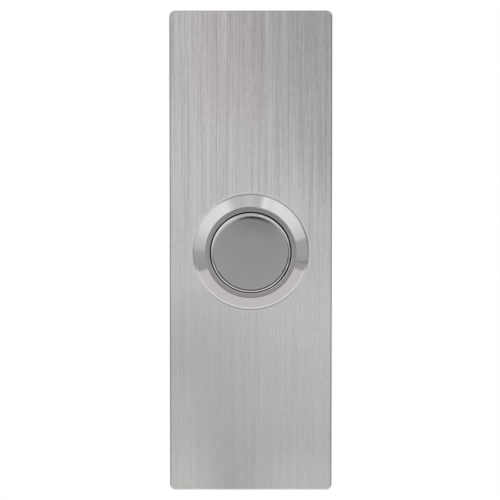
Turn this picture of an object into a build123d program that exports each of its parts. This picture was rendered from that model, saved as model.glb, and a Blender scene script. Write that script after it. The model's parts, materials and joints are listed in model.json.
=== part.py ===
from build123d import *
import math
import os

# Doorbell push button: a brushed steel cover over a wall plate, with a round metal push switch.
# X runs to the right, Y into the wall and Z up. The origin is on the wall, behind the button's centre.
# All lengths are in millimetres.

# Cover
cover_width = 30.4
cover_height = 90.0
cover_depth = 10.0
cover_sheet = 1.0
cover_corner_radius = 1.0
cover_edge_bevel = 0.25
cover_inner_radius = 0.2
cover_wall_gap = 0.3

# Wall plate and its lugs
plate_sheet = 1.5
plate_cover_gap = 0.25
plate_corner_radius = 1.5
bend_radius = 0.5
bend_relief = 1.0
lug_width = 12.0
lug_tip_gap = 1.5
lug_tip_radius = 1.5
wall_screw_inset = 10.75
wall_screw_hole_radius = 2.1
barrel_hole_gap = 1.25

# Screws that lock the cover on the lugs
cover_screw_radius = 1.5
cover_screw_length = 3.4
cover_screw_recess = 0.2
cover_screw_setback = 5.0
cover_screw_hole_gap = 0.15
cover_screw_socket_flats = 1.5
cover_screw_socket_depth = 1.6
cover_screw_chamfer = 0.25

# The screws' sockets and the nut are hexagons
hexagon_sides = 6

# Clearances shared by the fits
thread_gap = 0.02
slip_gap = 0.05
sliding_gap = 0.06
face_gap = 0.02

# Working parts across the axis, from the stem outwards
stem_radius = 3.0
block_web = 0.34
post_radius = 1.8
block_rim = 1.45
block_step = 0.4
lip_step = 0.42
cap_gap = 0.22
barrel_wall = 0.75

# Bezel
land_width = 0.89
bezel_height = 2.1
bezel_edge_height = 0.6
bezel_edge_bevel = 0.25
bezel_overhang = 1.65
lip_length = 2.5
gasket_width = 1.1
gasket_thickness = 0.5
gasket_bore_gap = 0.1
barrel_end_chamfer = 0.3
panel_hole_gap = 0.35

# Cap and its seal
cap_rise = 0.6
cap_edge_radius = 0.6
cap_thickness = 1.0
cap_wall = 0.8
cap_collar_thickness = 0.8
seal_thickness = 0.6
seal_bore_gap = 0.15
stroke = 1.2

# Plunger, bridge and springs
plunger_pocket_depth = 1.8
plunger_pocket_width = 2.4
stem_chamfer = 0.3
stem_engagement = 1.6
stem_socket_radius = 2.15
stem_socket_depth = 4.5
spring_wire_radius = 0.2
spring_side_gap = 0.25
spring_turn_count = 5
spring_turn_steps = 12
spring_closed_pitch = 0.44
spring_nest_depth = 0.8
stem_end_room = 1.4
bridge_room = 5.0
bridge_thickness = 0.8
bridge_width = 4.0
bridge_hub_width = 1.4
bridge_end_margin = 0.3
contact_tip_height = 0.3
contact_radius = 1.3
contact_height = 1.0
contact_gap = 0.02
clip_thickness = 0.5
clip_groove_depth = 0.35
clip_opening_angle = 90.0
clip_tip_gap = 0.15

# Terminal block, its ring, and the terminals
block_front_thickness = 4.8
block_rear_thickness = 1.76
block_ring_gap = 0.2
barrier_height = 3.0
barrier_thickness = 1.2
ring_thickness = 0.8
ring_groove_depth = 0.25
ring_width = 1.22
ring_opening = 2.4
barrel_end_margin = 0.6
post_flange_overhang = 0.4
post_flange_thickness = 0.6
clamp_size = 4.4
clamp_thickness = 0.7
clamp_corner_radius = 0.4
terminal_screw_radius = 1.25
terminal_screw_length = 4.2
terminal_hole_room = 0.6
terminal_head_radius = 2.25
terminal_head_height = 1.5
terminal_head_bevel = 0.3
terminal_slot_width = 0.7
terminal_slot_depth = 0.8

# Washer and nut behind the cover's front
washer_thickness = 0.8
washer_bore_gap = 0.15
washer_tooth_length = 1.0
washer_rim_width = 1.2
washer_tooth_count = 14
washer_slot_width = 1.3
nut_thickness = 2.5
nut_wall = 1.73
nut_chamfer_angle = 30.0

# Radii that follow from the widths above
guide_radius = stem_radius + sliding_gap
contact_offset = guide_radius + block_web + post_radius
block_radius = contact_offset + post_radius + block_rim
block_bore_radius = block_radius + slip_gap
body_bore_radius = block_bore_radius - block_step
lip_radius = body_bore_radius - lip_step
cap_radius = lip_radius - cap_gap
cap_inner_radius = cap_radius - cap_wall
cap_collar_radius = body_bore_radius - sliding_gap
plunger_radius = cap_inner_radius - slip_gap
seal_radius = body_bore_radius - seal_bore_gap
land_radius = lip_radius + land_width
barrel_radius = block_bore_radius + barrel_wall
bezel_radius = barrel_radius + bezel_overhang
panel_hole_radius = barrel_radius + panel_hole_gap
gasket_radius = barrel_radius + gasket_width
ring_groove_radius = block_bore_radius + ring_groove_depth
clip_groove_radius = stem_radius - clip_groove_depth
terminal_hole_radius = terminal_screw_radius + thread_gap
contact_spring_radius = stem_radius + spring_side_gap + spring_wire_radius
return_spring_radius = stem_socket_radius - spring_side_gap - spring_wire_radius

# Depths along Y, from the front of the cap to the ends of the terminals
cover_front_y = -cover_depth
cover_inside_y = cover_front_y + cover_sheet
land_y = cover_front_y - bezel_height
cap_front_y = land_y - cap_rise
cap_inside_y = cap_front_y + cap_thickness
lip_end_y = land_y + lip_length
seal_front_y = lip_end_y + face_gap
collar_front_y = seal_front_y + seal_thickness
collar_end_y = collar_front_y + cap_collar_thickness
pocket_y = collar_end_y - plunger_pocket_depth
bridge_front_y = collar_end_y + bridge_room
bridge_end_y = bridge_front_y + bridge_thickness
bridge_tip_y = bridge_end_y + contact_tip_height
contact_face_y = bridge_tip_y + stroke + contact_gap
block_front_y = contact_face_y + contact_height
stem_end_y = block_front_y + stem_engagement
socket_floor_y = stem_end_y - stem_socket_depth
guide_floor_y = stem_end_y + stroke + stem_end_room
nest_floor_y = guide_floor_y + spring_nest_depth
block_shoulder_y = block_front_y + block_front_thickness
block_end_y = block_shoulder_y + block_rear_thickness
ring_front_y = block_shoulder_y + face_gap
ring_end_y = ring_front_y + ring_thickness
barrel_end_y = ring_end_y + face_gap + barrel_end_margin
barrier_end_y = block_end_y + barrier_height
clamp_front_y = block_end_y + post_flange_thickness
clamp_end_y = clamp_front_y + clamp_thickness
terminal_head_y = clamp_end_y + terminal_head_height
terminal_tip_y = clamp_end_y - terminal_screw_length
terminal_hole_y = terminal_tip_y - terminal_hole_room

# Heights along Z of the wall plate, its lugs and their screws
cover_screw_y = cover_front_y + cover_screw_setback
lug_outer_z = cover_height / 2 - cover_sheet - plate_cover_gap
lug_inner_z = lug_outer_z - plate_sheet
plate_end_z = lug_inner_z - bend_radius - bend_relief
wall_screw_z = plate_end_z - wall_screw_inset
cover_screw_outer_z = cover_height / 2 - cover_screw_recess


def slab(shape, front_y, end_y):
    """Prism of a shape drawn in X and Z, from its front depth to its end depth."""
    return extrude(Plane.XZ.offset(-end_y) * shape, end_y - front_y)


def rod(radius, front_y, end_y, x=0.0, z=0.0):
    """Round bar along Y."""
    return slab(Pos(x, z) * Circle(radius), front_y, end_y)


def upright_rod(radius, low_z, high_z, y):
    """Round bar along Z, in the middle of the width."""
    return extrude(Plane.XY.offset(low_z) * Pos(0, y) * Circle(radius), high_z - low_z)


def turned(corners, rounds=(), bevels=()):
    """Solid of revolution about Y, from the (radius, depth) corners of its half section."""
    section = make_face(Polyline(*corners, close=True))
    for corner, radius in rounds:
        section = fillet(section.vertices().sort_by_distance((*corner, 0))[0], radius)
    for corner, length in bevels:
        section = chamfer(section.vertices().sort_by_distance((*corner, 0))[0], length)
    return revolve(section, Axis.Y)


def both_ends(piece):
    """A piece and its mirror image below the middle."""
    return piece + mirror(piece, Plane.XY)


def coil_spring(mean_radius, front_y, end_y):
    """Compression spring along Y, ruled through small hexagons, with its first and last turns closed."""
    first_y = front_y + spring_wire_radius
    rise = end_y - spring_wire_radius - first_y
    open_pitch = (rise - 2 * spring_closed_pitch) / (spring_turn_count - 2)
    sections = []
    for step in range(spring_turn_count * spring_turn_steps + 1):
        turns = step / spring_turn_steps
        closed_turns = min(turns, 1) + max(turns - (spring_turn_count - 1), 0)
        y = first_y + spring_closed_pitch * closed_turns + open_pitch * (turns - closed_turns)
        angle = 2 * math.pi * turns
        outward = Vector(math.cos(angle), 0, math.sin(angle))
        along = Vector(-math.sin(angle), 0, math.cos(angle))
        section_plane = Plane(mean_radius * outward + Vector(0, y, 0), x_dir=outward, z_dir=along)
        sections.append(section_plane * RegularPolygon(spring_wire_radius, hexagon_sides))
    return loft(sections, ruled=True)


def make_face_cover():
    """Folded pan with welded corners, a hole for the switch and one for each locking screw."""
    rim_y = -cover_wall_gap
    outer = slab(RectangleRounded(cover_width, cover_height, cover_corner_radius), cover_front_y, rim_y)
    outer = chamfer(outer.faces().sort_by(Axis.Y)[0].edges(), cover_edge_bevel)
    inner_width = cover_width - 2 * cover_sheet
    inner_height = cover_height - 2 * cover_sheet
    inner = slab(RectangleRounded(inner_width, inner_height, cover_inner_radius), cover_inside_y, rim_y)
    switch_hole = rod(panel_hole_radius, cover_front_y, cover_inside_y)
    screw_holes = upright_rod(
        cover_screw_radius + cover_screw_hole_gap, -cover_height / 2, cover_height / 2, cover_screw_y
    )
    return outer - inner - switch_hole - screw_holes


def make_back_plate():
    """Wall plate with a lug folded forward at each end, tapped for the locking screws."""
    width = cover_width - 2 * cover_sheet - 2 * plate_cover_gap
    sheet = slab(RectangleRounded(width, 2 * plate_end_z, plate_corner_radius), -plate_sheet, 0)
    tip_y = cover_inside_y + lug_tip_gap
    fold = make_face(
        Polyline(
            (0, 0),
            (0, lug_outer_z),
            (tip_y, lug_outer_z),
            (tip_y, lug_inner_z),
            (-plate_sheet, lug_inner_z),
            (-plate_sheet, 0),
            close=True,
        )
    )
    for corner, radius in (
        ((0, lug_outer_z, 0), bend_radius + plate_sheet),
        ((-plate_sheet, lug_inner_z, 0), bend_radius),
    ):
        fold = fillet(fold.vertices().sort_by_distance(corner)[0], radius)
    lug = extrude(Plane.YZ * fold, lug_width / 2, both=True)
    tip_edges = lug.faces().sort_by(Axis.Y)[0].edges().filter_by(Axis.Z)
    lug = fillet(tip_edges, lug_tip_radius)
    tapped_holes = both_ends(
        upright_rod(cover_screw_radius + thread_gap, lug_inner_z, lug_outer_z, cover_screw_y)
    )
    wall_holes = both_ends(rod(wall_screw_hole_radius, -plate_sheet, 0, z=wall_screw_z))
    barrel_hole = rod(barrel_radius + barrel_hole_gap, -plate_sheet, 0)
    return sheet + both_ends(lug) - tapped_holes - wall_holes - barrel_hole


def make_cover_screw():
    """Set screw for the upper lug, with its hexagon socket facing up."""
    inner_z = cover_screw_outer_z - cover_screw_length
    screw = upright_rod(cover_screw_radius, inner_z, cover_screw_outer_z, cover_screw_y)
    ends = screw.edges().group_by(Axis.Z)
    screw = chamfer(ends[0] + ends[-1], cover_screw_chamfer)
    hexagon = RegularPolygon(cover_screw_socket_flats / 2, hexagon_sides, major_radius=False)
    mouth = Plane.XY.offset(cover_screw_outer_z) * Pos(0, cover_screw_y) * hexagon
    return screw - extrude(mouth, -cover_screw_socket_depth)


def make_switch_body():
    """Turned body: bevelled bezel, satin land, inner lip, and the barrel with its stepped bore."""
    edge_y = cover_front_y - bezel_edge_height
    recess_y = cover_front_y - gasket_thickness
    body = turned(
        [
            (lip_radius, land_y),
            (land_radius, land_y),
            (bezel_radius, edge_y),
            (bezel_radius, cover_front_y),
            (gasket_radius, cover_front_y),
            (gasket_radius, recess_y),
            (barrel_radius, recess_y),
            (barrel_radius, barrel_end_y - barrel_end_chamfer),
            (barrel_radius - barrel_end_chamfer, barrel_end_y),
            (block_bore_radius, barrel_end_y),
            (block_bore_radius, block_front_y),
            (body_bore_radius, block_front_y),
            (body_bore_radius, lip_end_y),
            (lip_radius, lip_end_y),
        ],
        bevels=[((bezel_radius, edge_y), bezel_edge_bevel)],
    )
    return body - rod(ring_groove_radius, ring_front_y - face_gap, ring_end_y + face_gap)


def make_bezel_gasket():
    """Flat rubber ring in the recess under the bezel."""
    inner_radius = barrel_radius + gasket_bore_gap
    ring = Circle(gasket_radius - face_gap) - Circle(inner_radius)
    return slab(ring, cover_front_y - gasket_thickness, cover_front_y)


def make_lock_washer():
    """Washer with a ring of inward teeth that grip the barrel's thread."""
    tip_radius = barrel_radius + washer_bore_gap
    root_radius = tip_radius + washer_tooth_length
    slot = Pos(root_radius - washer_tooth_length, 0) * Rectangle(2 * washer_tooth_length, washer_slot_width)
    slots = Sketch() + [Rot(0, 0, 360 * i / washer_tooth_count) * slot for i in range(washer_tooth_count)]
    ring = Circle(root_radius + washer_rim_width) - Circle(tip_radius) - slots
    return slab(ring, cover_inside_y, cover_inside_y + washer_thickness)


def make_panel_nut():
    """Thin hexagon nut, two of its flats upright, with its corners chamfered on the rear face."""
    front_y = cover_inside_y + washer_thickness
    end_y = front_y + nut_thickness
    bore_radius = barrel_radius + thread_gap
    flat_radius = bore_radius + nut_wall
    corner_radius = flat_radius / math.cos(math.pi / hexagon_sides)
    drop = (corner_radius - flat_radius) * math.tan(math.radians(nut_chamfer_angle))
    half_side_angle = 180 / hexagon_sides
    hexagon = Rot(0, 0, half_side_angle) * RegularPolygon(flat_radius, hexagon_sides, major_radius=False)
    blank = slab(hexagon, front_y, end_y)
    chamfered = turned(
        [
            (bore_radius, front_y),
            (corner_radius, front_y),
            (corner_radius, end_y - drop),
            (flat_radius, end_y),
            (bore_radius, end_y),
        ]
    )
    return blank & chamfered


def make_button_cap():
    """Drawn metal cap with a rounded rim, and a collar behind the body's lip."""
    corners = [
        (0, cap_front_y),
        (cap_radius, cap_front_y),
        (cap_radius, collar_front_y),
        (cap_collar_radius, collar_front_y),
        (cap_collar_radius, collar_end_y),
        (cap_inner_radius, collar_end_y),
        (cap_inner_radius, cap_inside_y),
        (0, cap_inside_y),
    ]
    return turned(corners, rounds=[(corners[1], cap_edge_radius)])


def make_cap_seal():
    """Rubber ring on the cap's skirt, between the body's lip and the collar."""
    inner_radius = cap_radius + face_gap
    return slab(Circle(seal_radius) - Circle(inner_radius), seal_front_y, collar_front_y)


def make_plunger():
    """Moulded carrier: a plug in the cap, a pocket for the contact spring, and the guided stem."""
    top_y = cap_inside_y + face_gap
    plunger = turned(
        [
            (0, top_y),
            (plunger_radius, top_y),
            (plunger_radius, collar_end_y),
            (stem_radius + plunger_pocket_width, collar_end_y),
            (stem_radius + plunger_pocket_width, pocket_y),
            (stem_radius, pocket_y),
            (stem_radius, stem_end_y - stem_chamfer),
            (stem_radius - stem_chamfer, stem_end_y),
            (stem_socket_radius, stem_end_y),
            (stem_socket_radius, socket_floor_y),
            (0, socket_floor_y),
        ]
    )
    groove = rod(stem_radius, bridge_end_y, bridge_end_y + clip_thickness + face_gap)
    return plunger - (groove - rod(clip_groove_radius, bridge_end_y, stem_end_y))


def make_contact_bridge():
    """Metal strip across the two contacts, with a hub round the stem and a tip at each end."""
    reach = body_bore_radius - bridge_end_margin
    strip = SlotOverall(2 * reach, bridge_width) + Circle(stem_radius + bridge_hub_width)
    strip -= Circle(stem_radius + sliding_gap)
    bridge = slab(strip, bridge_front_y, bridge_end_y)
    for x in (-contact_offset, contact_offset):
        bridge += rod(contact_radius, bridge_end_y, bridge_tip_y, x=x)
    return bridge


def make_bridge_clip():
    """Open clip in the stem's groove, behind the bridge."""
    opening = 2 * clip_groove_radius * math.sin(math.radians(clip_opening_angle / 2))
    outer_radius = contact_offset - contact_radius - clip_tip_gap
    clip = Circle(outer_radius) - Circle(clip_groove_radius + face_gap)
    clip -= Pos(0, -outer_radius) * Rectangle(opening, 2 * outer_radius)
    return slab(clip, bridge_end_y, bridge_end_y + clip_thickness)


def make_terminal_block():
    """Moulded block: a disc with the stem's guide, a rear boss, and a barrier between the terminals."""
    boss_radius = block_bore_radius - ring_width + ring_groove_depth - block_ring_gap
    block = rod(block_radius, block_front_y, block_shoulder_y)
    block += rod(boss_radius, block_shoulder_y, block_end_y)
    barrier = slab(Rectangle(barrier_thickness, 2 * boss_radius), block_end_y, barrier_end_y)
    block += barrier & rod(boss_radius, block_end_y, barrier_end_y)
    block -= rod(guide_radius, block_front_y, guide_floor_y)
    block -= rod(stem_socket_radius, guide_floor_y, nest_floor_y)
    for x in (-contact_offset, contact_offset):
        block -= rod(post_radius + thread_gap, block_front_y, block_end_y, x=x)
    return block


def make_retaining_ring():
    """Open spring ring in the barrel's groove."""
    outer_radius = ring_groove_radius - face_gap
    ring = Circle(outer_radius) - Circle(ring_groove_radius - ring_width)
    ring -= Pos(0, outer_radius) * Rectangle(ring_opening, 2 * ring_width)
    return slab(ring, ring_front_y, ring_end_y)


def make_terminal_post():
    """Turned brass post on the axis: contact head, body through the block, and a tapped rear flange."""
    flange_radius = post_radius + post_flange_overhang
    corners = [
        (0, contact_face_y),
        (contact_radius, contact_face_y),
        (contact_radius, block_front_y),
        (post_radius, block_front_y),
        (post_radius, block_end_y),
        (flange_radius, block_end_y),
        (flange_radius, clamp_front_y),
        (terminal_hole_radius, clamp_front_y),
        (terminal_hole_radius, terminal_hole_y),
        (0, terminal_hole_y),
    ]
    return turned(corners)


def make_clamp_washer():
    """Square washer on the axis, under the terminal screw's head."""
    square = RectangleRounded(clamp_size, clamp_size, clamp_corner_radius)
    return slab(square - Circle(terminal_screw_radius + slip_gap), clamp_front_y, clamp_end_y)


def make_terminal_screw():
    """Slotted cheese-head screw on the axis."""
    corners = [
        (0, terminal_tip_y),
        (terminal_screw_radius, terminal_tip_y),
        (terminal_screw_radius, clamp_end_y),
        (terminal_head_radius, clamp_end_y),
        (terminal_head_radius, terminal_head_y),
        (0, terminal_head_y),
    ]
    screw = turned(corners, bevels=[(corners[4], terminal_head_bevel)])
    slot = Rectangle(terminal_slot_width, 2 * terminal_head_radius)
    return screw - slab(slot, terminal_head_y - terminal_slot_depth, terminal_head_y)


upper_screw = make_cover_screw()
post = make_terminal_post()
clamp = make_clamp_washer()
screw = make_terminal_screw()
left = Pos(-contact_offset, 0, 0)
right = Pos(contact_offset, 0, 0)

nodes = {
    "face_cover": make_face_cover(),
    "back_plate": make_back_plate(),
    "cover_screw_top": upper_screw,
    "cover_screw_bottom": mirror(upper_screw, Plane.XY),
    "switch_body": make_switch_body(),
    "bezel_gasket": make_bezel_gasket(),
    "lock_washer": make_lock_washer(),
    "panel_nut": make_panel_nut(),
    "button_cap": make_button_cap(),
    "cap_seal": make_cap_seal(),
    "plunger": make_plunger(),
    "contact_spring": coil_spring(contact_spring_radius, pocket_y + face_gap, bridge_front_y - face_gap),
    "contact_bridge": make_contact_bridge(),
    "bridge_clip": make_bridge_clip(),
    "return_spring": coil_spring(return_spring_radius, socket_floor_y + face_gap, nest_floor_y - face_gap),
    "terminal_block": make_terminal_block(),
    "block_retaining_ring": make_retaining_ring(),
    "terminal_post_left": left * post,
    "terminal_post_right": right * post,
    "clamp_washer_left": left * clamp,
    "clamp_washer_right": right * clamp,
    "terminal_screw_left": left * screw,
    "terminal_screw_right": right * screw,
}

os.makedirs("parts", exist_ok=True)
for name, solid in nodes.items():
    export_step(solid, f"parts/{name}.step")
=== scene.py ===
import json
import math

import bpy
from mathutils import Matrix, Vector


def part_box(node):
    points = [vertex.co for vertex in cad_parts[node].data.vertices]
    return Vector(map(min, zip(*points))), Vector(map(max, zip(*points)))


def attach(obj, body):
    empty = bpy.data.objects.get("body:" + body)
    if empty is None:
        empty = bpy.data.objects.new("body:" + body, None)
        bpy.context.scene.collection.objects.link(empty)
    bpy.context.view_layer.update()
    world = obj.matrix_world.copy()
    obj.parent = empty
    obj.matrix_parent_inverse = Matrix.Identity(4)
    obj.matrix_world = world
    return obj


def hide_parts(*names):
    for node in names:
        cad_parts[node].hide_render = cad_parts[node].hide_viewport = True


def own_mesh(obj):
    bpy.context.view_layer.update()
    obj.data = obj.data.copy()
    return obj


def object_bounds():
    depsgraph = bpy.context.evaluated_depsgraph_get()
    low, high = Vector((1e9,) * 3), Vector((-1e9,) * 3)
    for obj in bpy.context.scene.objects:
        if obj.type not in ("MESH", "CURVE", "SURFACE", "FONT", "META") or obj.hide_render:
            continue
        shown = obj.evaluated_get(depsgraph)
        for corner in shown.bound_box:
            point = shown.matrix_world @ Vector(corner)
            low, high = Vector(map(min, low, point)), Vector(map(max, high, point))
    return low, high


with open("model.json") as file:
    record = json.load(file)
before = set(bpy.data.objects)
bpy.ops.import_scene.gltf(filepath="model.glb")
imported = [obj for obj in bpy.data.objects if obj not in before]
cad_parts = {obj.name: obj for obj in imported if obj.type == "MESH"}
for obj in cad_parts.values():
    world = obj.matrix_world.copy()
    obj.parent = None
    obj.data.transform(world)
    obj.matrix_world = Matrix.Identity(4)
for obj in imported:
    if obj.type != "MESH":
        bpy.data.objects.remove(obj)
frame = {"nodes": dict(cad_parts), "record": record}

# The looks of a doorbell push button: brushed cover, polished bezel and satin cap.
# Lengths are in metres in the CAD's frame: X right, Y into the wall, Z up.
cad_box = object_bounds()
MM = 0.001

# The photograph is taken to be 500 by 500 pixels
PHOTO_PIXELS = 500
PIXELS_PER_METRE = 5340.0
PLATE_CENTRE_PX = (250.8, 251.6)
CAMERA_DISTANCE = 0.6
CAMERA_ELEVATION = math.radians(4.5)
CAMERA_REACH = (0.01, 10.0)
SENSOR = 36.0

cover_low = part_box("face_cover")[0]
body_low, body_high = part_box("switch_body")
cap_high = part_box("button_cap")[1]
FRONT_Y = cover_low.y
LAND_Y = body_low.y
BEZEL_RADIUS = body_high.x
BEZEL_OVERHANG = 1.65 * MM
BEVEL_WIDTH = 2.33 * MM
LAND_WIDTH = 0.89 * MM
BARREL_RADIUS = BEZEL_RADIUS - BEZEL_OVERHANG
LAND_RADIUS = BEZEL_RADIUS - BEVEL_WIDTH
LIP_RADIUS = LAND_RADIUS - LAND_WIDTH
BARREL_END_Y = body_high.y
CAP_COLLAR = 0.58 * MM
CAP_RADIUS = cap_high.x - CAP_COLLAR


# Node tree helpers

def add(tree, kind, inputs=None, **settings):
    """A node with its settings, and with each named input set to a value or linked to a socket."""
    made = tree.nodes.new(kind)
    for key, value in settings.items():
        setattr(made, key, value)
    for key, value in (inputs or {}).items():
        if isinstance(value, bpy.types.NodeSocket):
            tree.links.new(value, made.inputs[key])
        else:
            made.inputs[key].default_value = value
    return made


def calc(tree, operation, a, b=0.0):
    """The result of one math operation."""
    return add(tree, "ShaderNodeMath", {0: a, 1: b}, operation=operation).outputs[0]


def product(tree, first, *others):
    """The product of several numbers."""
    for other in others:
        first = calc(tree, "MULTIPLY", first, other)
    return first


def linear(tree, value, slope, start):
    """A number times a slope, on top of a start."""
    return calc(tree, "ADD", calc(tree, "MULTIPLY", value, slope), start)


def swing(tree, value, depth):
    """Noise turned into a swing round zero, of a given depth."""
    return calc(tree, "MULTIPLY", calc(tree, "SUBTRACT", value, 0.5), depth)


def blend_range(tree, value, low, high, to_low=0.0, to_high=1.0):
    """A smooth step of a value from one range to another."""
    inputs = {"Value": value, "From Min": low, "From Max": high, "To Min": to_low, "To Max": to_high}
    return add(tree, "ShaderNodeMapRange", inputs, interpolation_type="SMOOTHSTEP").outputs["Result"]


def smooth(tree, value, start, full):
    """A share that grows smoothly from 0 at one value to 1 at another, in either direction."""
    if start < full:
        return blend_range(tree, value, start, full)
    return blend_range(tree, value, full, start, 1.0, 0.0)


def mix_value(tree, factor, a, b):
    """A number between two others."""
    return add(tree, "ShaderNodeMix", {0: factor, 2: a, 3: b}, data_type="FLOAT").outputs[0]


def gain(tree, share, full):
    """A factor that goes from 1 to its full value as a share grows."""
    return mix_value(tree, share, 1.0, full)


def opaque(colour):
    """A colour's socket as it is, or its three numbers with full alpha."""
    return colour if isinstance(colour, bpy.types.NodeSocket) else (*colour, 1.0)


def mix_colour(tree, factor, a, b, mode="MIX"):
    """A colour mixed from two others."""
    inputs = {0: factor, 6: opaque(a), 7: opaque(b)}
    return add(tree, "ShaderNodeMix", inputs, data_type="RGBA", blend_type=mode).outputs[2]


def grey(tree, value):
    """A grey colour from a number."""
    return add(tree, "ShaderNodeCombineColor", {0: value, 1: value, 2: value}).outputs[0]


def position(tree):
    """The position in the object's own frame, in metres."""
    return add(tree, "ShaderNodeTexCoord").outputs["Object"]


def split(tree, vector):
    """The three parts of a vector."""
    return tuple(add(tree, "ShaderNodeSeparateXYZ", {0: vector}).outputs)


def radius_of(tree, a, b):
    """The distance from an axis, from the two coordinates across it."""
    squares = calc(tree, "ADD", calc(tree, "POWER", a, 2.0), calc(tree, "POWER", b, 2.0))
    return calc(tree, "SQRT", squares)


def towards(tree, x, z, radius, clock):
    """The cosine of the angle round the button's axis between a point and a clock direction."""
    across = calc(tree, "MULTIPLY", x, math.sin(clock))
    along = calc(tree, "ADD", across, calc(tree, "MULTIPLY", z, math.cos(clock)))
    return calc(tree, "DIVIDE", along, radius)


def arc_share(tree, x, z, radius, arc):
    """The share of an arc = (clock direction, cosines between which the arc grows to its full)."""
    clock, cosines = arc
    return smooth(tree, towards(tree, x, z, radius, clock), *cosines)


def arc_gain(tree, x, z, radius, mark):
    """The gain of a painted highlight or painted shade = (arc, radii between which it grows to its full,
    gain at its full).
    """
    arc, radii, full = mark
    share = calc(tree, "MULTIPLY", arc_share(tree, x, z, radius, arc), smooth(tree, radius, *radii))
    return gain(tree, share, full)


def tilted(tree, x, z, radius, amount):
    """The surface's normal, leant outwards from the button's axis by a slope."""
    lean = calc(tree, "DIVIDE", amount, radius)
    outward = {0: calc(tree, "MULTIPLY", x, lean), 1: 0.0, 2: calc(tree, "MULTIPLY", z, lean)}
    added = add(tree, "ShaderNodeCombineXYZ", outward).outputs[0]
    normal = add(tree, "ShaderNodeNewGeometry").outputs["Normal"]
    total = add(tree, "ShaderNodeVectorMath", {0: normal, 1: added}, operation="ADD").outputs[0]
    return add(tree, "ShaderNodeVectorMath", {0: total}, operation="NORMALIZE").outputs[0]


def noise(tree, point, pitch, detail=2.0, roughness=0.5, offset=(0.0, 0.0, 0.0)):
    """Noise whose features are about pitch = (x, y, z) metres long along each axis."""
    scale = tuple(1.0 / length for length in pitch)
    mapped = add(tree, "ShaderNodeMapping", {"Vector": point, "Scale": scale, "Location": offset})
    inputs = {"Vector": mapped.outputs[0], "Scale": 1.0, "Detail": detail, "Roughness": roughness}
    return add(tree, "ShaderNodeTexNoise", inputs).outputs[0]


def even_noise(tree, point, pitch, detail=2.0):
    """Noise with the same pitch along all three axes."""
    return noise(tree, point, (pitch, pitch, pitch), detail)


def bump(tree, height, distance, strength=1.0, normal=None):
    """A bump of a height from 0 to 1, scaled to a distance in metres."""
    inputs = {"Height": height, "Distance": distance, "Strength": strength}
    if normal is not None:
        inputs["Normal"] = normal
    return add(tree, "ShaderNodeBump", inputs).outputs[0]


def new_material(name, metallic=1.0, roughness=0.3, **inputs):
    """A material, its tree and its main shader, with constants set on the shader itself."""
    made = bpy.data.materials.new(name)
    made.use_nodes = True
    tree = made.node_tree
    shader = tree.nodes["Principled BSDF"]
    shader.inputs["Metallic"].default_value = metallic
    shader.inputs["Roughness"].default_value = roughness
    for key, value in inputs.items():
        shader.inputs[key].default_value = value
    return made, tree, shader


# Cover

COVER_BASE = 0.955
COVER_ROUGHNESS = 0.36
COVER_ANISOTROPY = 0.55
STREAK_PITCH = 0.17 * MM
STREAK_LENGTH = 30 * MM
# The noise's detail and its roughness
STREAK_DETAIL = (3.0, 0.6)
STREAK_DEPTH = 1.05
STREAK_KEPT_BELOW = 0.35
STREAK_ROUGHNESS = 0.16
STREAK_RELIEF = 0.004 * MM
SCRATCH_PITCH = 0.17 * MM
SCRATCH_LENGTH = 1.2 * MM
SCRATCH_OFFSET = (3.9, 5.2, 0.8)
SCRATCH_DEPTH = 0.35
SCRATCH_KEPT_BELOW = 0.58
BAND_PITCH = 1.0 * MM
BAND_LENGTH = 50 * MM
BAND_OFFSET = (7.3, 1.1, 4.2)
BAND_DEPTH = 0.28
BROAD_PITCH = 9 * MM
BROAD_LENGTH = 70 * MM
BROAD_OFFSET = (2.7, 0.4, 9.1)
BROAD_DEPTH = 0.06
# The heights between which the brushing goes from soft to crisp
CRISP_RANGE = (-14 * MM, 10 * MM)
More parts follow.
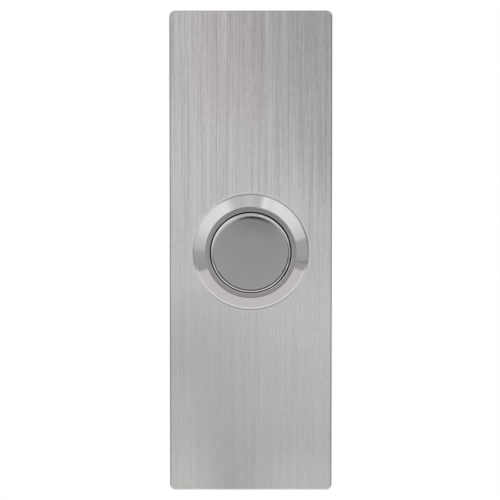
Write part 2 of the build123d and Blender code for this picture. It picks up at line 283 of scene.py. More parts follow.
# How much of the normal lies along an axis: on faces square on to it, and for the front's axis
# also on the bevel, which begins where the front ends and ends where the sides begin
SQUARE_ON = (0.90, 0.99)
BEVEL_FROM_FRONT = (0.99, 0.90)
BEVEL_FROM_SIDE = (0.02, 0.20)
# Painted shade on the cover's bevel and on its left and right sides
EDGE_TONE = 0.60
COVER_SIDE_PAINTED_SHADE = 0.80
# Painted highlight on the cover round the bezel's foot, and a painted shadow line under the bezel
FOOT_RADII = (BEZEL_RADIUS + 0.50 * MM, BEZEL_RADIUS + 0.20 * MM)
FOOT_PAINTED_LIGHT_GAIN = 1.08
GLINT_RADII = (BEZEL_RADIUS + 0.30 * MM, BEZEL_RADIUS + 0.18 * MM)
GLINT_PAINTED_HIGHLIGHT_GAIN = 1.06
FOOT_LINE_RADII = (BEZEL_RADIUS + 0.15 * MM, BEZEL_RADIUS + 0.10 * MM)
FOOT_LINE_HEIGHTS = (-4 * MM, -9 * MM)
FOOT_PAINTED_SHADOW_TONE = 0.55
COVER_PAINTED_LIGHT_AND_SHADE = [
    # painted light and shade in broad patches, with a faint warm tint near the top: how much of each colour
    # stays, then the x and the z range in which each grows to its full
    ((0.80, 0.80, 0.80), (-13 * MM, 16 * MM), (4 * MM, 22 * MM)),
    ((0.92, 0.92, 0.92), (-9 * MM, 0 * MM), (20 * MM, 44 * MM)),
    ((0.93, 0.93, 0.93), (-60 * MM, -40 * MM), (14 * MM, 38 * MM)),
    ((1.00, 0.96, 0.95), (4 * MM, 0.5 * MM), (19 * MM, 27 * MM)),
    ((1.00, 1.03, 1.03), (-8 * MM, -12.5 * MM), (19 * MM, 27 * MM)),
    ((0.89, 0.89, 0.87), (10 * MM, -9 * MM), (-3 * MM, -15 * MM)),
    ((0.91, 0.91, 0.91), (-60 * MM, -40 * MM), (-8 * MM, -28 * MM)),
    ((0.95, 0.95, 0.95), (-9 * MM, -4 * MM), (-28 * MM, -38 * MM)),
    ((1.09, 1.09, 1.09), (-5 * MM, -12 * MM), (-20 * MM, -28 * MM)),
    ((1.10, 1.10, 1.10), (-3 * MM, -11 * MM), (-33 * MM, -43 * MM)),
    ((1.09, 1.09, 1.09), (-1 * MM, 6 * MM), (-34 * MM, -43 * MM)),
    ((0.92, 0.92, 0.92), (6 * MM, 14 * MM), (-18 * MM, 5 * MM)),
    ((1.10, 1.10, 1.10), (6 * MM, 14 * MM), (12 * MM, 40 * MM)),
]


def foot_painted_light_and_shadow(tree, x, z):
    """The cover's tone close to the bezel: a painted highlight around it, with a painted shadow line under
    it.
    """
    radius = radius_of(tree, x, z)
    bright = gain(tree, smooth(tree, radius, *FOOT_RADII), FOOT_PAINTED_LIGHT_GAIN)
    glint = gain(tree, smooth(tree, radius, *GLINT_RADII), GLINT_PAINTED_HIGHLIGHT_GAIN)
    bright = calc(tree, "MULTIPLY", bright, glint)
    at_line = smooth(tree, radius, *FOOT_LINE_RADII)
    line = calc(tree, "MULTIPLY", at_line, smooth(tree, z, *FOOT_LINE_HEIGHTS))
    return mix_value(tree, line, bright, FOOT_PAINTED_SHADOW_TONE)


def cover_material():
    """Stainless sheet brushed along its length, crisper above than below, and across on its ends, with
    painted light and shade over it.
    """
    settings = {"roughness": COVER_ROUGHNESS, "Anisotropic": COVER_ANISOTROPY}
    made, tree, shader = new_material("brushed_cover", **settings)
    point = position(tree)
    x, _, z = split(tree, point)
    normal = add(tree, "ShaderNodeNewGeometry").outputs["Normal"]
    to_side, to_front, to_end = (calc(tree, "ABSOLUTE", part) for part in split(tree, normal))
    on_side = smooth(tree, to_side, *SQUARE_ON)
    on_end = smooth(tree, to_end, *SQUARE_ON)
    off_end = calc(tree, "SUBTRACT", 1.0, on_end)
    from_front = smooth(tree, to_front, *BEVEL_FROM_FRONT)
    on_bevel = calc(tree, "MULTIPLY", from_front, smooth(tree, to_front, *BEVEL_FROM_SIDE))

    along = noise(tree, point, (STREAK_PITCH, STREAK_PITCH, STREAK_LENGTH), *STREAK_DETAIL)
    across = noise(tree, point, (STREAK_LENGTH, STREAK_PITCH, STREAK_PITCH), *STREAK_DETAIL)
    fine = mix_value(tree, on_end, along, across)
    band = noise(tree, point, (BAND_PITCH, BAND_PITCH, BAND_LENGTH), offset=BAND_OFFSET)
    broad_size = (BROAD_PITCH, BROAD_PITCH, BROAD_LENGTH)
    broad = noise(tree, point, broad_size, detail=1.0, offset=BROAD_OFFSET)
    scratch_size = (SCRATCH_PITCH, SCRATCH_PITCH, SCRATCH_LENGTH)
    scratch = noise(tree, point, scratch_size, offset=SCRATCH_OFFSET)

    crisp = blend_range(tree, z, *CRISP_RANGE, STREAK_KEPT_BELOW, 1.0)
    scratch_depths = (SCRATCH_DEPTH * SCRATCH_KEPT_BELOW, SCRATCH_DEPTH)
    scratch_depth = blend_range(tree, z, *CRISP_RANGE, *scratch_depths)
    scratch_depth = calc(tree, "MULTIPLY", scratch_depth, off_end)
    streaks = swing(tree, fine, STREAK_DEPTH)
    bands = calc(tree, "MULTIPLY", swing(tree, band, BAND_DEPTH), off_end)
    pattern = calc(tree, "MULTIPLY", calc(tree, "ADD", streaks, bands), crisp)
    pattern = calc(tree, "ADD", pattern, swing(tree, scratch, scratch_depth))
    pattern = calc(tree, "ADD", pattern, swing(tree, broad, BROAD_DEPTH))
    tone = calc(tree, "ADD", pattern, COVER_BASE)
    tone = product(tree, tone, gain(tree, on_bevel, EDGE_TONE), gain(tree, on_side, COVER_SIDE_PAINTED_SHADE))

    colour = grey(tree, tone)
    # Painted light and shade over the cover in broad patches
    for kept, x_range, z_range in COVER_PAINTED_LIGHT_AND_SHADE:
        share = calc(tree, "MULTIPLY", smooth(tree, x, *x_range), smooth(tree, z, *z_range))
        colour = mix_colour(tree, share, colour, kept, mode="MULTIPLY")
    colour = mix_colour(tree, 1.0, colour, grey(tree, foot_painted_light_and_shadow(tree, x, z)), mode="MULTIPLY")
    tree.links.new(colour, shader.inputs["Base Color"])
    rough = calc(tree, "ADD", swing(tree, fine, STREAK_ROUGHNESS), COVER_ROUGHNESS)
    tree.links.new(rough, shader.inputs["Roughness"])
    tree.links.new(bump(tree, fine, STREAK_RELIEF), shader.inputs["Normal"])
    tangent = add(tree, "ShaderNodeTangent", direction_type="RADIAL", axis="Z")
    tree.links.new(tangent.outputs[0], shader.inputs["Tangent"])
    return made


# Body

# An arc is a clock direction, and the cosines between which it grows to its full.
# A mark is a painted highlight or painted shade: an arc, the radii between which it grows to its full, and
# its gain there.
BEVEL_TONE = 0.63
BEVEL_ROUGHNESS = 0.09
BEHIND_FRONT = (FRONT_Y - 0.1 * MM, FRONT_Y + 0.1 * MM)
LAND_RADII = (LAND_RADIUS + 0.02 * MM, LAND_RADIUS - 0.06 * MM)
LAND_TONE = 0.469
LAND_ROUGHNESS = 0.24
LAND_GRAIN_PITCH = 0.12 * MM
LAND_GRAIN_DEPTH = 0.06
TURNING_PITCH = 0.05 * MM
TURNING_ROUGHNESS = 0.10
TURNING_RELIEF = 0.0015 * MM
TURNING_STRENGTH = 0.6
# Painted shade on the land, darkest towards the upper right
LAND_SHADE = 0.20
SHADE_CLOCK = math.radians(18)
LAND_WARMTH = (1.03, 0.98, 0.965)
WARM_ARC = (math.radians(155), (-0.2, 0.75))
LAND_PAINTED_EDGE_LIGHT_AND_SHADE = [
    # a painted highlight along an edge at the upper right, then a painted shade along one at the bottom
    (
        (math.radians(38), (0.78, 0.93)),
        (LAND_RADIUS - 0.26 * MM, LAND_RADIUS - 0.14 * MM),
        1.8,
    ),
    (
        (math.pi, (0.2, 0.6)),
        (LAND_RADIUS - 0.36 * MM, LAND_RADIUS - 0.22 * MM),
        0.86,
    ),
]
# A painted highlight on the land's inner edge by the gap, weaker at the left and stronger at the lower right
INNER_EDGE_RADII = (LIP_RADIUS + 0.12 * MM, LIP_RADIUS + 0.06 * MM)
INNER_EDGE_PAINTED_HIGHLIGHT = 1.8
LEFT_GAP_ARC = (math.radians(280), (0.75, 0.95))
LEFT_GAP_PAINTED_SHADE = 0.50
RIGHT_GAP_ARC = (math.radians(128), (0.75, 0.97))
RIGHT_GAP_PAINTED_LIGHT = 1.35
BORE_RADII = (LIP_RADIUS + 0.10 * MM, LIP_RADIUS + 0.05 * MM)
BORE_DEPTHS = (LAND_Y + 0.01 * MM, LAND_Y + 0.05 * MM)
BORE_ROUGHNESS = 0.5
# Painted light in the bore under the cap: lighter low down, darker above
LIP_HEIGHTS = (-6 * MM, 0.0)
LIP_PAINTED_LIGHT_TONES = (0.95, 0.65)
# Painted shade as dark lines along the bevel's outer edge, left out at the upper left, and painted light on
# the wall under the edge
EDGE_RADII = (BEZEL_RADIUS - 0.22 * MM, BEZEL_RADIUS - 0.14 * MM)
BREAK_ARC = (math.radians(302), (0.82, 0.97))
SIDE_EDGE_HEIGHTS = (-7.5 * MM, -4.5 * MM)
SIDE_EDGE_PAINTED_SHADE = 0.72
UPPER_LINE_RADII = (BEZEL_RADIUS - 0.30 * MM, BEZEL_RADIUS - 0.20 * MM)
UPPER_LINE_END = (BEZEL_RADIUS - 0.05 * MM, BEZEL_RADIUS - 0.10 * MM)
UPPER_LINE_HEIGHTS = (-1 * MM, 3 * MM)
UPPER_LINE_PAINTED_SHADE = 0.62
LOWER_LINE_RADII = (BEZEL_RADIUS - 0.15 * MM, BEZEL_RADIUS - 0.09 * MM)
LOWER_LINE_HEIGHTS = (-5 * MM, -10.5 * MM)
LOWER_LINE_PAINTED_SHADE = 0.30
WALL_DEPTHS = (FRONT_Y - 0.38 * MM, FRONT_Y - 0.33 * MM)
WALL_PAINTED_LIGHT_TONE = 0.92
NEAR_EDGE_RADII = (BEZEL_RADIUS - 0.55 * MM, BEZEL_RADIUS - 0.40 * MM)
NEAR_EDGE_LEAN = 0.10
ROUNDED_RADII = (BEZEL_RADIUS - 0.27 * MM, BEZEL_RADIUS - 0.23 * MM)
ROUNDED_HEIGHTS = (1 * MM, 6 * MM)
ROUNDED_LEANS = (-0.45, 0.0)


def land_tone(tree, point, x, z, radius):
    """The tone of the flat satin ring inside the bevel, with painted shade, painted highlight and shade
    along its edges, and a painted highlight on its inner edge.
    """
    grain = even_noise(tree, point, LAND_GRAIN_PITCH)
    tone = linear(tree, grain, LAND_GRAIN_DEPTH, LAND_TONE)
    facing = towards(tree, x, z, radius, SHADE_CLOCK)
    tone = calc(tree, "MULTIPLY", tone, blend_range(tree, facing, 0.0, 1.0, 1.0, 1.0 - LAND_SHADE))
    for mark in LAND_PAINTED_EDGE_LIGHT_AND_SHADE:
        tone = calc(tree, "MULTIPLY", tone, arc_gain(tree, x, z, radius, mark))
    left_gap = arc_share(tree, x, z, radius, LEFT_GAP_ARC)
    right_gap = arc_share(tree, x, z, radius, RIGHT_GAP_ARC)
    edge_gain = mix_value(tree, left_gap, INNER_EDGE_PAINTED_HIGHLIGHT, INNER_EDGE_PAINTED_HIGHLIGHT * LEFT_GAP_PAINTED_SHADE)
    edge_gain = mix_value(tree, right_gap, edge_gain, INNER_EDGE_PAINTED_HIGHLIGHT * RIGHT_GAP_PAINTED_LIGHT)
    inner_edge = smooth(tree, radius, *INNER_EDGE_RADII)
    return calc(tree, "MULTIPLY", tone, gain(tree, inner_edge, edge_gain))


def edge_lines(tree, x, y, z, radius, tone):
    """A tone with painted shade as dark lines along the bevel's outer edge, and painted light as a lighter
    tone on the wall below it.
    """
    on_edge = smooth(tree, radius, *EDGE_RADII)
    unbroken = gain(tree, arc_share(tree, x, z, radius, BREAK_ARC), 0.0)
    side_edge = product(tree, on_edge, smooth(tree, z, *SIDE_EDGE_HEIGHTS), unbroken)
    upper_line = product(
        tree,
        smooth(tree, radius, *UPPER_LINE_RADII),
        smooth(tree, z, *UPPER_LINE_HEIGHTS),
        smooth(tree, radius, *UPPER_LINE_END),
        unbroken,
    )
    at_lower = smooth(tree, radius, *LOWER_LINE_RADII)
    lower_line = calc(tree, "MULTIPLY", at_lower, smooth(tree, z, *LOWER_LINE_HEIGHTS))
    lines = ((side_edge, SIDE_EDGE_PAINTED_SHADE), (upper_line, UPPER_LINE_PAINTED_SHADE), (lower_line, LOWER_LINE_PAINTED_SHADE))
    for line, full in lines:
        tone = calc(tree, "MULTIPLY", tone, gain(tree, line, full))
    on_wall = calc(tree, "MULTIPLY", on_edge, smooth(tree, y, *WALL_DEPTHS))
    return mix_value(tree, on_wall, tone, WALL_PAINTED_LIGHT_TONE)


def bezel_lean(tree, z, radius):
    """How far the normal leans outwards near the bevel's softened outer edge."""
    near_edge = smooth(tree, radius, *NEAR_EDGE_RADII)
    rounded = smooth(tree, radius, *ROUNDED_RADII)
    rounded_lean = blend_range(tree, z, *ROUNDED_HEIGHTS, *ROUNDED_LEANS)
    return mix_value(tree, rounded, calc(tree, "MULTIPLY", near_edge, NEAR_EDGE_LEAN), rounded_lean)


def body_material():
    """Turned metal: polished bevel with a softened edge, fine satin land, and plain turned barrel behind."""
    made, tree, shader = new_material("polished_body", roughness=BEVEL_ROUGHNESS)
    point = position(tree)
    x, y, z = split(tree, point)
    radius = radius_of(tree, x, z)
    on_land = smooth(tree, radius, *LAND_RADII)
    satin = calc(tree, "MAXIMUM", on_land, smooth(tree, y, *BEHIND_FRONT))
    in_bore = smooth(tree, radius, *BORE_RADII)
    in_bore = calc(tree, "MULTIPLY", in_bore, smooth(tree, y, *BORE_DEPTHS))

    lip_tone = blend_range(tree, z, *LIP_HEIGHTS, *LIP_PAINTED_LIGHT_TONES)
    tone = mix_value(tree, satin, BEVEL_TONE, land_tone(tree, point, x, z, radius))
    tone = mix_value(tree, in_bore, tone, lip_tone)
    tone = edge_lines(tree, x, y, z, radius, tone)
    warm = calc(tree, "MULTIPLY", on_land, arc_share(tree, x, z, radius, WARM_ARC))
    colour = mix_colour(tree, warm, grey(tree, tone), LAND_WARMTH, mode="MULTIPLY")
    tree.links.new(colour, shader.inputs["Base Color"])

    ring = add(tree, "ShaderNodeCombineXYZ", {0: radius, 1: y, 2: 0.0}).outputs[0]
    turning = noise(tree, ring, (TURNING_PITCH, TURNING_PITCH, 1.0), detail=1.0)
    satin_rough = linear(tree, turning, TURNING_ROUGHNESS, LAND_ROUGHNESS)
    rough = mix_value(tree, satin, BEVEL_ROUGHNESS, satin_rough)
    tree.links.new(mix_value(tree, in_bore, rough, BORE_ROUGHNESS), shader.inputs["Roughness"])
    leant = tilted(tree, x, z, radius, bezel_lean(tree, z, radius))
    relief = bump(tree, turning, TURNING_RELIEF, TURNING_STRENGTH, leant)
    tree.links.new(relief, shader.inputs["Normal"])
    return made


# Cap

CAP_TONE = 0.458
CAP_ROUGHNESS = 0.27
CAP_GRAIN_PITCH = 0.10 * MM
CAP_CLOUD_PITCH = 4 * MM
CAP_TONE_DEPTH = 0.03
CAP_GRAIN_ROUGHNESS = 0.05
# On the face, and on the rim
CAP_LEAST_ROUGHNESS = (0.19, 0.08)
# Painted highlight on the cap's rim, stronger above than below
CAP_EDGE_RADII = (7.08 * MM, 7.22 * MM)
CAP_EDGE_HEIGHTS = (-5 * MM, 0.0)
CAP_EDGE_PAINTED_HIGHLIGHTS = (1.18, 1.4)
CROWN_LEAN = 0.045
CROWN_RADII = (1.5 * MM, 6.2 * MM)
SHOULDER_LEAN = 0.30
SHOULDER_RADII = (6.10 * MM, 7.22 * MM)
SHOULDER_ARC = (math.radians(-4), (0.05, 1.0))
# From the middle to this far right, the shoulder's lean falls to the share that is kept
SHOULDER_RIGHT = (0.0, 0.6 * CAP_RADIUS)
SHOULDER_RIGHT_KEPT = 0.66
# Painted shade on the rim at the upper right, painted highlight at the lower right, and painted shade on
# both sides low down
RIM_SHADE = ((math.radians(34), (0.86, 0.97)), (7.05 * MM, 7.36 * MM), 0.55)
RIM_LIT = ((math.radians(122), (0.70, 0.93)), (7.32 * MM, 7.42 * MM), 1.9)
RIM_DIM_BOTTOM = (-5.2 * MM, -4.0 * MM)
RIM_DIM_TOP = (-2.2 * MM, -3.3 * MM)
RIM_DIM_RADII = (7.12 * MM, 7.22 * MM)
RIM_DIM_TONE = 0.77
RIM_FLATTEN = 0.52
RIM_RADII = (7.12 * MM, 7.46 * MM)
RIM_ARC = (math.radians(230), (-0.35, 0.2))


def cap_tone(tree, point, grain, x, z, radius):
    """The tone of the cap's metal, with painted highlight and painted shade on its rim."""
    cloud = even_noise(tree, point, CAP_CLOUD_PITCH, detail=1.0)
    tone = linear(tree, cloud, CAP_TONE_DEPTH, linear(tree, grain, CAP_TONE_DEPTH, CAP_TONE))
    edge_gain = blend_range(tree, z, *CAP_EDGE_HEIGHTS, *CAP_EDGE_PAINTED_HIGHLIGHTS)
    dim = product(
        tree,
        smooth(tree, z, *RIM_DIM_BOTTOM),
        smooth(tree, z, *RIM_DIM_TOP),
        smooth(tree, radius, *RIM_DIM_RADII),
    )
    # Painted highlight and painted shade on the rim
    polished = product(
        tree,
        gain(tree, smooth(tree, radius, *CAP_EDGE_RADII), edge_gain),
        arc_gain(tree, x, z, radius, RIM_SHADE),
        gain(tree, dim, RIM_DIM_TONE),
        arc_gain(tree, x, z, radius, RIM_LIT),
    )
    return calc(tree, "MULTIPLY", tone, polished)


def cap_lean(tree, x, z, radius, near_rim):
    """How far the normal leans outwards on the cap's face and rounded rim."""
    crown = calc(tree, "MULTIPLY", smooth(tree, radius, *CROWN_RADII), CROWN_LEAN)
    upper = arc_share(tree, x, z, radius, SHOULDER_ARC)
    kept = blend_range(tree, x, *SHOULDER_RIGHT, 1.0, SHOULDER_RIGHT_KEPT)
    upper = calc(tree, "MULTIPLY", upper, kept)
    shoulder = product(tree, near_rim, upper, SHOULDER_LEAN)
    on_rim = smooth(tree, radius, *RIM_RADII)
    flatten = product(tree, on_rim, arc_share(tree, x, z, radius, RIM_ARC), RIM_FLATTEN)
    return calc(tree, "SUBTRACT", calc(tree, "ADD", crown, shoulder), flatten)


def cap_material():
    """Satin metal with a very fine even grain, a face that falls away slightly, and a glossier rim."""
    made, tree, shader = new_material("satin_cap", roughness=CAP_ROUGHNESS)
    point = position(tree)
    x, _, z = split(tree, point)
    radius = radius_of(tree, x, z)
    grain = even_noise(tree, point, CAP_GRAIN_PITCH)
    tone = cap_tone(tree, point, grain, x, z, radius)
    tree.links.new(grey(tree, tone), shader.inputs["Base Color"])
    near_rim = smooth(tree, radius, *SHOULDER_RADII)
    least = mix_value(tree, near_rim, *CAP_LEAST_ROUGHNESS)
    rough = linear(tree, grain, CAP_GRAIN_ROUGHNESS, least)
    tree.links.new(rough, shader.inputs["Roughness"])
    lean = cap_lean(tree, x, z, radius, near_rim)
    tree.links.new(tilted(tree, x, z, radius, lean), shader.inputs["Normal"])
    return made


# Other materials

METAL_PITCH = 0.3 * MM
METAL_CLOUD_PITCH = 5 * MM
METAL_RELIEF = 0.003 * MM
METAL_DARKEST = 0.74
# The share of the full colour is the grain times the first number, plus the second
METAL_GRAIN_SHARES = (0.9, 0.1)
METAL_CLOUD_SHARE = 0.35
METAL_ROUGHNESS_SPREAD = 0.14
MOULDED_PITCH = 0.25 * MM
MOULDED_CLOUD_PITCH = 3 * MM
MOULDED_RELIEF = 0.01 * MM
# The lightest tone is the colour times the first number, plus the second
MOULDED_LIGHTEST = (1.25, 0.004)
MOULDED_ROUGHNESS_SPREAD = 0.2


def grained(tree, shader, grain, roughness, spread, relief):
    """Puts a grain on a shader, in its gloss and in its relief."""
    rough = linear(tree, grain, spread, roughness - spread / 2)
    tree.links.new(rough, shader.inputs["Roughness"])
    tree.links.new(bump(tree, grain, relief), shader.inputs["Normal"])


def plain_metal(name, colour, roughness, pitch=(METAL_PITCH, METAL_PITCH, METAL_PITCH)):
    """Machined or stamped metal with a fine grain in tone, gloss and relief."""
    made, tree, shader = new_material(name, roughness=roughness)
    point = position(tree)
    grain = noise(tree, point, pitch, detail=3.0)
    cloud = even_noise(tree, point, METAL_CLOUD_PITCH)
    darker = tuple(METAL_DARKEST * part for part in colour)
    tone = mix_colour(tree, linear(tree, grain, *METAL_GRAIN_SHARES), darker, colour)
    tone = mix_colour(tree, calc(tree, "MULTIPLY", cloud, METAL_CLOUD_SHARE), tone, darker)
    tree.links.new(tone, shader.inputs["Base Color"])
    grained(tree, shader, grain, roughness, METAL_ROUGHNESS_SPREAD, METAL_RELIEF)
    return made


def moulded(name, colour, roughness):
    """Moulded plastic or rubber with a fine spark-eroded grain."""
    made, tree, shader = new_material(name, metallic=0.0, roughness=roughness)
    point = position(tree)
    grain = even_noise(tree, point, MOULDED_PITCH, detail=3.0)
    cloud = even_noise(tree, point, MOULDED_CLOUD_PITCH)
    share, lift = MOULDED_LIGHTEST
    lighter = tuple(min(1.0, share * part + lift) for part in colour)
    tree.links.new(mix_colour(tree, cloud, colour, lighter), shader.inputs["Base Color"])
    grained(tree, shader, grain, roughness, MOULDED_ROUGHNESS_SPREAD, MOULDED_RELIEF)
    return made


PLATE_PITCH = (0.9 * MM, 0.9 * MM, 14 * MM)
MATERIALS = {
    "brushed_cover": cover_material(),
    "polished_body": body_material(),
    "satin_cap": cap_material(),
    "plate_steel": plain_metal("plate_steel", (0.60, 0.61, 0.62), 0.42, PLATE_PITCH),
    "screw_steel": plain_metal("screw_steel", (0.62, 0.63, 0.64), 0.30),
    "nut_metal": plain_metal("nut_metal", (0.66, 0.64, 0.58), 0.28),
    "spring_steel": plain_metal("spring_steel", (0.45, 0.45, 0.46), 0.35),
    "contact_brass": plain_metal("contact_brass", (0.78, 0.58, 0.28), 0.28),
    "black_rubber": moulded("black_rubber", (0.018, 0.018, 0.018), 0.7),
    "black_moulding": moulded("black_moulding", (0.028, 0.028, 0.030), 0.45),
    "white_nylon": moulded("white_nylon", (0.74, 0.72, 0.66), 0.5),
}
SLOTS = {row["node"]: row["material_slot"] for row in frame["record"]["subparts"]}


def dress_nodes():
    """Gives each CAD node the material of its slot."""
    for name, piece in frame["nodes"].items():
        if not piece.material_slots:
            piece.data.materials.append(None)
        for material_slot in piece.material_slots:
            material_slot.material = MATERIALS[SLOTS[name]]


dress_nodes()


# Springs and thread, finer than in the CAD

WIRE_RADIUS = 0.2 * MM
SPRING_TURNS = 5
CLOSED_PITCH = 0.44 * MM
COIL_STEPS = 60
WIRE_SIDES = 14
THREAD_PITCH = 1.0 * MM
THREAD_DEPTH = 0.24 * MM
THREAD_SINK = 0.03 * MM
THREAD_LEAST = 0.1 * THREAD_SINK
THREAD_CREST = 0.12 * MM
THREAD_FADE = 0.5
THREAD_START = 1.2 * MM
THREAD_STOP = 0.9 * MM


def helix(name, material, turn_count, depth_at, section_at):
    """Mesh wound round the Y axis.

    depth_at gives its depth at each turn, and section_at the closed section there,
    as corners of (radius, depth).
    """
    points = []
    for step in range(int(turn_count * COIL_STEPS) + 1):
        turns = step / COIL_STEPS
        angle = 2 * math.pi * turns
        depth = depth_at(turns)
        for radius, offset in section_at(turns):
            points.append((radius * math.cos(angle), depth + offset, radius * math.sin(angle)))
    sides = len(section_at(0.0))
    rings = len(points) // sides
    last = len(points) - 1
    faces = [tuple(range(sides)), tuple(range(last, last - sides, -1))]
    for ring in range(rings - 1):
        for side in range(sides):
            here = ring * sides + side
            beside = ring * sides + (side + 1) % sides
            faces.append((here, here + sides, beside + sides, beside))
    mesh = bpy.data.meshes.new(name)
    mesh.from_pydata(points, [], faces)
    mesh.polygons.foreach_set("use_smooth", [True] * len(mesh.polygons))
    mesh.materials.append(MATERIALS[material])
    made = bpy.data.objects.new(name, mesh)
    bpy.context.scene.collection.objects.link(made)
    return made


def make_spring(name, node, body):
    """Round-wire spring with one closed turn at each end, in the place of the CAD's faceted one."""
    low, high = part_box(node)
    mean_radius = high.x - WIRE_RADIUS
    first = low.y + WIRE_RADIUS
    rise = high.y - WIRE_RADIUS - first
    open_pitch = (rise - 2 * CLOSED_PITCH) / (SPRING_TURNS - 2)

    def depth_at(turns):
        closed = min(turns, 1) + max(turns - (SPRING_TURNS - 1), 0)
        return first + CLOSED_PITCH * closed + open_pitch * (turns - closed)

    angles = [2 * math.pi * side / WIRE_SIDES for side in range(WIRE_SIDES)]
    wire = [(mean_radius + WIRE_RADIUS * math.cos(a), WIRE_RADIUS * math.sin(a)) for a in angles]
    spring = helix(name, "spring_steel", SPRING_TURNS, depth_at, lambda turns: wire)
    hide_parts(node)
    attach(spring, body)
    return spring


def make_thread():
    """Ridge of the barrel's thread, fading out at both ends."""
    first = FRONT_Y + THREAD_START
    turn_count = (BARREL_END_Y - THREAD_STOP - first) / THREAD_PITCH

    def depth_at(turns):
        return first + THREAD_PITCH * turns

    def section_at(turns):
        share = min(1.0, turns / THREAD_FADE, (turn_count - turns) / THREAD_FADE)
        root = BARREL_RADIUS - THREAD_SINK
        crest = root + max(share, 0.0) * THREAD_DEPTH + THREAD_LEAST
        half_root = THREAD_PITCH / 2
        half_crest = THREAD_CREST / 2
        return [(root, -half_root), (crest, -half_crest), (crest, half_crest), (root, half_root)]

    thread = helix("barrel_thread", "polished_body", turn_count, depth_at, section_at)
    for polygon in thread.data.polygons:
        polygon.use_smooth = False
    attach(thread, "housing")


make_spring("contact_spring_coil", "contact_spring", "button")
return_coil = make_spring("return_spring_coil", "return_spring", "housing")
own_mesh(return_coil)
make_thread()


# Lights

# The studio is the world's light, by direction. Its clock angles go round the line that a flat
# front face mirrors to the camera, and its other angles lead away from it, all in degrees.
ROOM_TILT = -CAMERA_ELEVATION
FRONT_TONE = 0.62
FRONT_ANGLES = (20.5, 26)
MIDDLE_ANGLES = (59.5, 63.5)
FLOOR_ANGLES = (69, 76)
FLOOR_HEIGHTS = (-0.25, -0.45)
FLOOR_LIGHT = (1.12, 1.09, 1.08)
FLAG_TONE = 0.02
FLAG_CLOCK = ((-38, -2), (15, 52))
FLAG_NEAR = (0.3, 4.0)
FLAG_NEAR_CLOCK = ((-12, 6), (18, 36))
FLAG_FAR = (7, 11)
FLAG_END = (30.5, 34)
STRIPE_PITCH = 0.035
STRIPE_DEPTH = 0.25
STRIPE_HEIGHTS = (0.55, 0.75)
MIDDLE_SECTORS = [
    # clock angle in degrees from the top, and the light there, in the ring from the front to the middle
    (-180, (0.02, 0.02, 0.02)),
    (-135, (0.09, 0.09, 0.09)),
    (-112, (0.20, 0.20, 0.20)),
    (-92, (0.50, 0.50, 0.50)),
    (-74, (0.68, 0.68, 0.68)),
    (-60, (0.90, 0.90, 0.90)),
    (-30, (1.00, 1.00, 1.00)),
    (44, (1.00, 1.00, 1.00)),
    (66, (0.50, 0.50, 0.50)),
    (88, (0.28, 0.28, 0.28)),
    (112, (0.22, 0.22, 0.22)),
    (135, (0.03, 0.03, 0.03)),
    (180, (0.02, 0.02, 0.02)),
]
WIDE_SECTORS = [
    # the same in the ring from the middle outwards
    (-180, (0.84, 0.79, 0.79)),
    (-114.5, (0.84, 0.79, 0.79)),
    (-112.5, (0.46, 0.45, 0.46)),
    (-94, (0.53, 0.53, 0.53)),
    (-88, (0.70, 0.70, 0.70)),
    (-62, (1.05, 1.05, 1.05)),
    (-30, (1.12, 1.12, 1.12)),
    (-20, (0.76, 0.76, 0.76)),
    (-10, (0.71, 0.71, 0.71)),
    (-1, (0.80, 0.80, 0.80)),
    (6, (0.70, 0.70, 0.70)),
    (12, (0.74, 0.74, 0.74)),
    (15, (1.12, 1.12, 1.12)),
    (20, (1.10, 1.10, 1.10)),
    (24, (1.00, 1.00, 1.00)),
    (30, (1.12, 1.12, 1.12)),
    (58, (1.04, 1.04, 1.04)),
    (78, (0.80, 0.80, 0.80)),
    (80, (0.54, 0.54, 0.53)),
    (102, (0.52, 0.52, 0.51)),
    (104, (0.33, 0.33, 0.33)),
    (106, (0.50, 0.48, 0.49)),
    (112, (0.49, 0.46, 0.47)),
    (113.5, (0.84, 0.79, 0.79)),
    (180, (0.84, 0.79, 0.79)),
]


def sector_ramp(tree, turn, sectors):
    """A colour for each clock angle, from the share of a full turn."""
    ramp = add(tree, "ShaderNodeValToRGB", {0: turn})
    stops = ramp.color_ramp.elements
    ends = ((stops[0], 0.0, sectors[0][1]), (stops[1], 1.0, sectors[-1][1]))
    for stop, place, colour in ends:
        stop.position = place
        stop.color = (*colour, 1)
    for angle, colour in sectors[1:-1]:
        stops.new(angle / 360 + 0.5).color = (*colour, 1)
    return ramp.outputs[0]


def flag_share(tree, clock, away):
    """The share of a dark panel close to the front's mirror line, which is narrow at its near end."""
    ends = []
    for reach, (rise, fall) in ((FLAG_NEAR, FLAG_NEAR_CLOCK), (FLAG_FAR, FLAG_CLOCK)):
        rising = smooth(tree, clock, *rise)
        falling = smooth(tree, clock, *reversed(fall))
        ends.append(product(tree, rising, falling, smooth(tree, away, *reach)))
    whole = calc(tree, "MAXIMUM", *ends)
    return calc(tree, "MULTIPLY", whole, smooth(tree, away, *reversed(FLAG_END)))


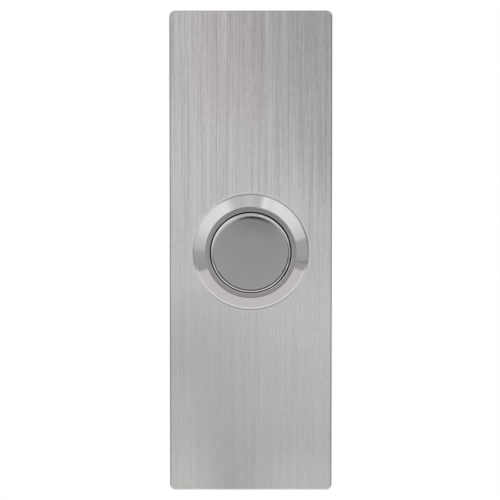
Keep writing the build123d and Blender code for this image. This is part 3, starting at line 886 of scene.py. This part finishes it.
def make_world():
    """White to the camera; to everything else, a soft room, brightest above and dark low in front."""
    world = bpy.data.worlds.new("studio")
    bpy.context.scene.world = world
    world.use_nodes = True
    tree = world.node_tree
    tree.nodes.clear()
    direction = add(tree, "ShaderNodeTexCoord").outputs["Generated"]
    turned = {"Vector": direction, "Angle": ROOM_TILT}
    direction = add(tree, "ShaderNodeVectorRotate", turned, rotation_type="X_AXIS").outputs[0]
    x, y, z = split(tree, direction)
    clock = calc(tree, "ARCTAN2", x, z)
    turn = calc(tree, "ADD", calc(tree, "DIVIDE", clock, 2 * math.pi), 0.5)
    clock_degrees = calc(tree, "MULTIPLY", clock, math.degrees(1.0))
    ahead = calc(tree, "MULTIPLY", y, -1.0)
    away = calc(tree, "MULTIPLY", calc(tree, "ARCCOSINE", ahead), math.degrees(1.0))

    clock_line = add(tree, "ShaderNodeCombineXYZ", {0: clock}).outputs[0]
    stripes = swing(tree, noise(tree, clock_line, (STRIPE_PITCH, 1.0, 1.0)), STRIPE_DEPTH)
    stripes = calc(tree, "MULTIPLY", stripes, smooth(tree, z, *STRIPE_HEIGHTS))
    wide = mix_colour(tree, 1.0, sector_ramp(tree, turn, WIDE_SECTORS), grey(tree, stripes), mode="ADD")
    low = calc(tree, "MULTIPLY", smooth(tree, away, *FLOOR_ANGLES), smooth(tree, z, *FLOOR_HEIGHTS))
    wide = mix_colour(tree, low, wide, FLOOR_LIGHT)
    middle = sector_ramp(tree, turn, MIDDLE_SECTORS)
    light = mix_colour(tree, smooth(tree, away, *MIDDLE_ANGLES), middle, wide)
    light = mix_colour(tree, smooth(tree, away, *FRONT_ANGLES), (FRONT_TONE,) * 3, light)
    light = mix_colour(tree, flag_share(tree, clock_degrees, away), light, (FLAG_TONE,) * 3)

    room = add(tree, "ShaderNodeBackground", {"Color": light, "Strength": 1.0})
    white = add(tree, "ShaderNodeBackground", {"Color": (1.0, 1.0, 1.0, 1.0), "Strength": 1.0})
    camera_ray = add(tree, "ShaderNodeLightPath").outputs["Is Camera Ray"]
    both = add(tree, "ShaderNodeMixShader", {0: camera_ray, 1: room.outputs[0], 2: white.outputs[0]})
    add(tree, "ShaderNodeOutputWorld", {"Surface": both.outputs[0]})


make_world()


# Floor

FLOOR_DROP = 35 * MM
FLOOR_RADIUS = 0.20
FLOOR_SIDES = 96
FLOOR_ROUGHNESS = 0.7
FLOOR_COLOUR = (0.82, 0.80, 0.80, 1.0)
FLOOR_GLOW_COLOUR = (1.0, 0.985, 0.98, 1.0)
FLOOR_GLOW_RADII = (0.5 * FLOOR_RADIUS, FLOOR_RADIUS)
FLOOR_GLOWS = (0.22, 0.6)


def make_floor():
    """Pale round floor below the object, which fades to white at its edge."""
    level = cad_box[0][2] - FLOOR_DROP
    mesh = bpy.data.meshes.new("floor")
    ring = []
    for side in range(FLOOR_SIDES):
        angle = 2 * math.pi * side / FLOOR_SIDES
        ring.append((FLOOR_RADIUS * math.cos(angle), FLOOR_RADIUS * math.sin(angle), level))
    mesh.from_pydata(ring, [], [list(range(FLOOR_SIDES))])
    floor = bpy.data.objects.new("floor", mesh)
    bpy.context.scene.collection.objects.link(floor)
    made, tree, shader = new_material("pale_floor", metallic=0.0, roughness=FLOOR_ROUGHNESS)
    x, y, _ = split(tree, position(tree))
    glow = blend_range(tree, radius_of(tree, x, y), *FLOOR_GLOW_RADII, *FLOOR_GLOWS)
    shader.inputs["Base Color"].default_value = FLOOR_COLOUR
    shader.inputs["Emission Color"].default_value = FLOOR_GLOW_COLOUR
    tree.links.new(glow, shader.inputs["Emission Strength"])
    mesh.materials.append(made)
    floor.visible_glossy = False


make_floor()


# Camera

def make_camera():
    """Long lens, a little above the middle, aimed so that the outline lies where the photograph has it."""
    camera = bpy.data.cameras.new("camera")
    seat = bpy.data.objects.new("camera", camera)
    bpy.context.scene.collection.objects.link(seat)
    field = PHOTO_PIXELS / PIXELS_PER_METRE
    camera.sensor_width = SENSOR
    camera.lens = SENSOR * CAMERA_DISTANCE / field
    camera.clip_start, camera.clip_end = CAMERA_REACH
    aim_x = -(PLATE_CENTRE_PX[0] - PHOTO_PIXELS / 2) / PIXELS_PER_METRE
    aim_z = (PLATE_CENTRE_PX[1] - PHOTO_PIXELS / 2) / PIXELS_PER_METRE
    target = Vector((aim_x, FRONT_Y, aim_z))
    away = Vector((0.0, -math.cos(CAMERA_ELEVATION), math.sin(CAMERA_ELEVATION)))
    seat.location = target + CAMERA_DISTANCE * away
    seat.rotation_euler = (-away).to_track_quat("-Z", "Y").to_euler()
    bpy.context.scene.camera = seat


make_camera()
bpy.context.scene.view_settings.view_transform = "Standard"
